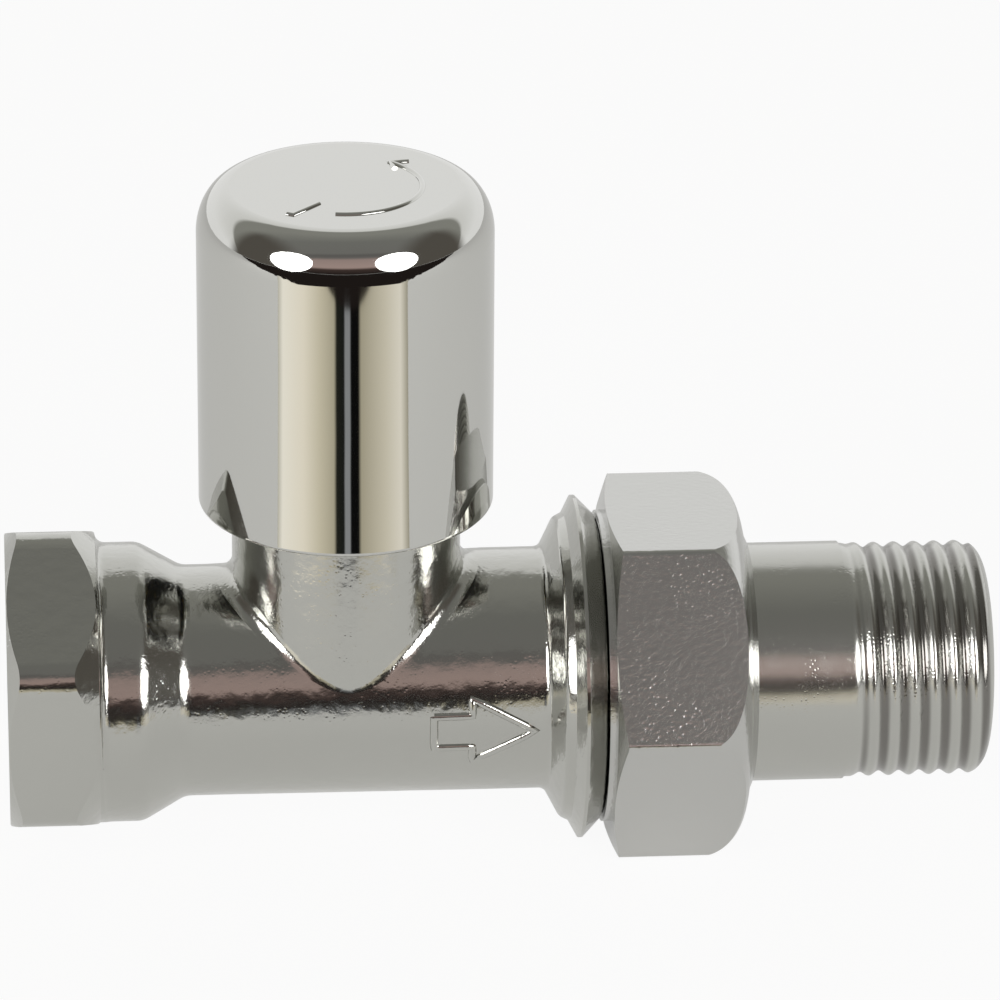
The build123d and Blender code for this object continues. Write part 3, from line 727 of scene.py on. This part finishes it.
def dark_floor():
    """The dark ground past the paper's front edge."""
    material, tree = new_material("dark ground")
    glow = put(tree, "ShaderNodeEmission", {"Color": colour("#241f1d"), "Strength": 1.0})
    put(tree, "ShaderNodeOutputMaterial", {"Surface": glow})
    half = GROUND_HALF
    corners = [(-half, -half), (half, -half), (half, PAPER_FRONT), (-half, PAPER_FRONT)]
    z = FLOOR_Z + GROUND_STEP
    only_mirrored(plain_plane("dark ground", [(x, y, z) for x, y in corners], material))


def front_sheet():
    """Cream paper in front of the handwheel, with two dark straps towards the camera."""
    first, last = -54, 44
    near, far = 80 * MM, 147 * MM
    material, tree = new_material("cream paper with straps")
    place = put(tree, "ShaderNodeTexCoord").outputs["Object"]
    parts = put(tree, "ShaderNodeSeparateXYZ", {0: place}).outputs
    right = put(tree, "ShaderNodeMath", {0: parts["X"], 1: WHEEL_X}, operation="SUBTRACT")
    front = put(tree, "ShaderNodeMath", {0: 0.0, 1: parts["Y"]}, operation="SUBTRACT")
    azimuth = put(tree, "ShaderNodeMath", {0: right, 1: front}, operation="ARCTAN2")
    limits = {"From Min": math.radians(first), "From Max": math.radians(last)}
    along = put(tree, "ShaderNodeMapRange", {"Value": azimuth, **limits})
    ramp = put(tree, "ShaderNodeValToRGB", {"Fac": along})
    shades = [
        (-54, "#c9c6ba"),
        (-50, "#fffaee"),
        (-34, "#f6eedd"),
        (-22, "#d8d0ba"),
        (-11.5, "#b9b29c"),
        (-9.5, "#23241f"),
        (-4.2, "#1d1f1d"),
        (-3.2, "#8f9194"),
        (0.0, "#8f9194"),
        (1.0, "#0e0e0e"),
        (6.4, "#0e0e0e"),
        (8.4, "#b3ac97"),
        (26, "#d9d2c0"),
        (38, "#f0eadd"),
        (44, "#a8a392"),
    ]
    set_stops(ramp, [((angle - first) / (last - first), hex_code) for angle, hex_code in shades])
    glow = put(tree, "ShaderNodeEmission", {"Color": ramp, "Strength": SHEET_STRENGTH})
    put(tree, "ShaderNodeOutputMaterial", {"Surface": glow})
    z = FLOOR_Z + 2 * GROUND_STEP
    steps = 16
    turns = [math.radians(first + (last - first) * k / steps) for k in range(steps + 1)]
    outer = [(WHEEL_X + far * math.tan(a), -far, z) for a in turns]
    inner = [(WHEEL_X + near * math.sin(a), -near * math.cos(a), z) for a in reversed(turns)]
    only_mirrored(plain_plane("front sheet", outer + inner, material))


def room():
    """The room as the metal sees it: white behind, grey above, brown in front, dark at the front's sides."""
    world = bpy.data.worlds.new("room")
    bpy.context.scene.world = world
    world.use_nodes = True
    tree = world.node_tree
    tree.nodes.clear()
    way = put(tree, "ShaderNodeTexCoord").outputs["Generated"]
    parts = put(tree, "ShaderNodeSeparateXYZ", {0: way}).outputs
    lean = put(tree, "ShaderNodeMath", {0: parts["Y"], 1: parts["Z"]}, operation="ARCTAN2")
    swing = put(tree, "ShaderNodeMapRange", {"Value": lean, "From Min": -math.pi, "From Max": math.pi})
    ramp = put(tree, "ShaderNodeValToRGB", {"Fac": swing})
    # From the front's horizon (0.25) over the zenith (0.5) to the horizon behind (0.75)
    stops = [
        (0.25, "#2c2624"),
        (0.272, "#4a3c38"),
        (0.282, "#b9a29c"),
        (0.324, "#ab9792"),
        (0.338, "#757270"),
        (0.352, "#6b6967"),
        (0.366, "#7e7d7a"),
        (0.456, "#80807c"),
        (0.544, "#969690"),
        (0.597, "#969690"),
        (0.612, "#ececea"),
        (0.7, "#ffffff"),
    ]
    set_stops(ramp, stops)
    side = put(tree, "ShaderNodeMath", {0: parts["X"]}, operation="ABSOLUTE")
    aside = put(
        tree,
        "ShaderNodeMapRange",
        {"Value": side, "From Min": 0.5, "From Max": 0.8},
        interpolation_type="SMOOTHSTEP",
    )
    forward = put(
        tree,
        "ShaderNodeMapRange",
        {"Value": parts["Y"], "From Min": 0.0, "From Max": 0.25, "To Min": 1.0, "To Max": 0.0},
        interpolation_type="SMOOTHSTEP",
    )
    share = put(tree, "ShaderNodeMath", {0: aside, 1: forward}, operation="MULTIPLY")
    mixed = put(
        tree,
        "ShaderNodeMix",
        {"Factor": share, "A": ramp, "B": colour("#5e5a54")},
        data_type="RGBA",
    )
    back = put(tree, "ShaderNodeBackground", {"Color": mixed.outputs["Result"], "Strength": 1.0})
    put(tree, "ShaderNodeOutputWorld", {"Surface": back})


def direction(azimuth, elevation):
    """The way from the object to a place round it; azimuth 0 is in front, 90 on the outlet's side."""
    turn, rise = math.radians(azimuth), math.radians(elevation)
    return Vector((math.sin(turn) * math.cos(rise), -math.cos(turn) * math.cos(rise), math.sin(rise)))


def lamp(name, azimuth):
    """A round soft lamp that points at the handwheel's top."""
    light = bpy.data.lights.new(name, "AREA")
    light.shape = "DISK"
    light.size = LAMP_SIZE
    light.energy = LAMP_POWER
    obj = bpy.data.objects.new(name, light)
    bpy.context.scene.collection.objects.link(obj)
    way = direction(azimuth, LAMP_ELEVATION)
    obj.location = Vector((WHEEL_X, 0.0, WHEEL_TOP)) + way * LAMP_DISTANCE
    obj.rotation_mode = "QUATERNION"
    obj.rotation_quaternion = way.to_track_quat("Z", "Y")
    obj.visible_camera = False


def lamps():
    """Two soft lamps in front, left and right of the camera."""
    lamp("left lamp", -45)
    lamp("right lamp", 37)


def camera():
    """The photograph's view: long lens, a little from the left and from above."""
    data = bpy.data.cameras.new("camera")
    data.lens = LENS
    data.sensor_width = 36.0
    data.clip_start = 0.05
    data.clip_end = 20.0
    obj = bpy.data.objects.new("camera", data)
    bpy.context.scene.collection.objects.link(obj)
    azimuth, roll = math.radians(CAMERA_AZIMUTH), math.radians(CAMERA_ROLL)
    back = direction(CAMERA_AZIMUTH, CAMERA_ELEVATION)
    level = Vector((math.cos(azimuth), math.sin(azimuth), 0.0))
    right = math.cos(roll) * level + math.sin(roll) * back.cross(level)
    up = back.cross(right)
    turn = Matrix((right, up, back)).transposed()
    obj.matrix_world = Matrix.Translation(CAMERA_TARGET + back * CAMERA_DISTANCE) @ turn.to_4x4()
    bpy.context.scene.camera = obj


def stage():
    """Floor, front sheet, room, lamps and camera."""
    pale_floor()
    dark_floor()
    front_sheet()
    room()
    lamps()
    camera()
    bpy.context.scene.view_settings.view_transform = "Standard"


dress_nodes()
threaded_tailpiece()
threaded_body()
turning_arrow()
flow_arrow()
stage()
